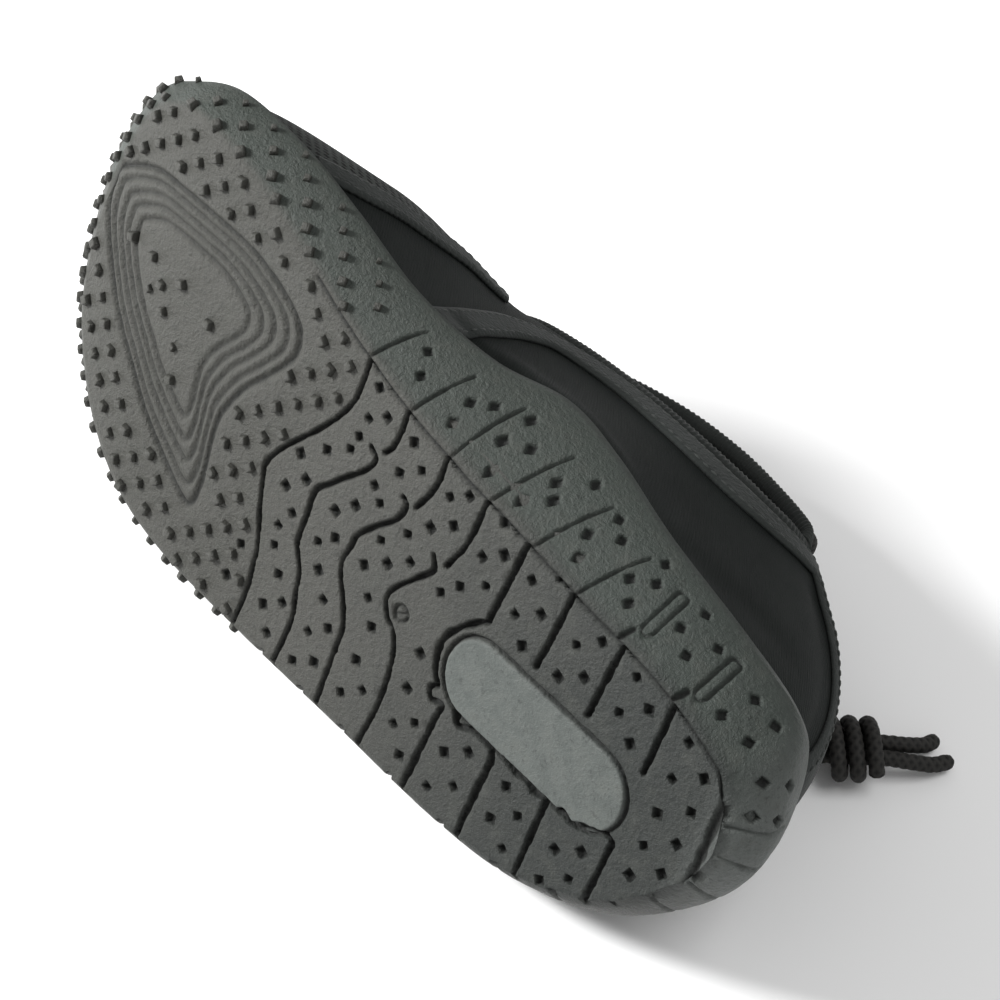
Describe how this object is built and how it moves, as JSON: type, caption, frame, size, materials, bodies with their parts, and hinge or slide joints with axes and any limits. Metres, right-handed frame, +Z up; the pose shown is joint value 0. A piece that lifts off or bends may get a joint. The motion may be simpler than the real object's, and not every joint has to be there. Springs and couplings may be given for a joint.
{
  "type": "water shoe",
  "caption": "Right water shoe lying on its outer side: ridged rubber cup sole, soft stretch upper, bound collar, cord lock and knotted cord.",
  "frame": {"origin": "on the floor, under the middle of the shoe as it lies on its outer side", "axes": "+X from the toe to the heel, +Y from the tread toward the collar, +Z up from the floor"},
  "size_m": [0.2314, 0.1174, 0.097],
  "materials": {
    "grey_rubber": "matt moulded rubber",
    "grey_foam": "lined foam",
    "black_neoprene": "smooth stretch cloth, mesh over the front",
    "dark_webbing": "stitched tape",
    "ribbed_elastic": "ribbed elastic",
    "grey_plastic": "satin moulded plastic",
    "black_plastic": "satin moulded plastic",
    "braided_cord": "braided elastic cord"
  },
  "bodies": {
    "shoe": {"outsole": "grey_rubber", "insole": "grey_foam", "upper": "black_neoprene", "vamp_trim_inner": "dark_webbing", "vamp_trim_outer": "dark_webbing", "collar_band": "dark_webbing", "heel_tape": "dark_webbing", "collar_binding": "ribbed_elastic", "cord_lock_barrel": "grey_plastic", "cord_drop_front": "braided_cord", "cord_drop_back": "braided_cord", "cord_tail_outer": "braided_cord", "cord_tail_inner": "braided_cord", "cord_knot": "braided_cord"},
    "button": {"cord_lock_button": "black_plastic"}
  },
  "joints": [
    {"name": "button_press", "type": "slide", "parent": "shoe", "child": "button", "axis": [1, 0, 0], "range_m": [0, 0.0025], "stiffness_N_per_m": 400, "springref_m": -0.001}
  ]
}
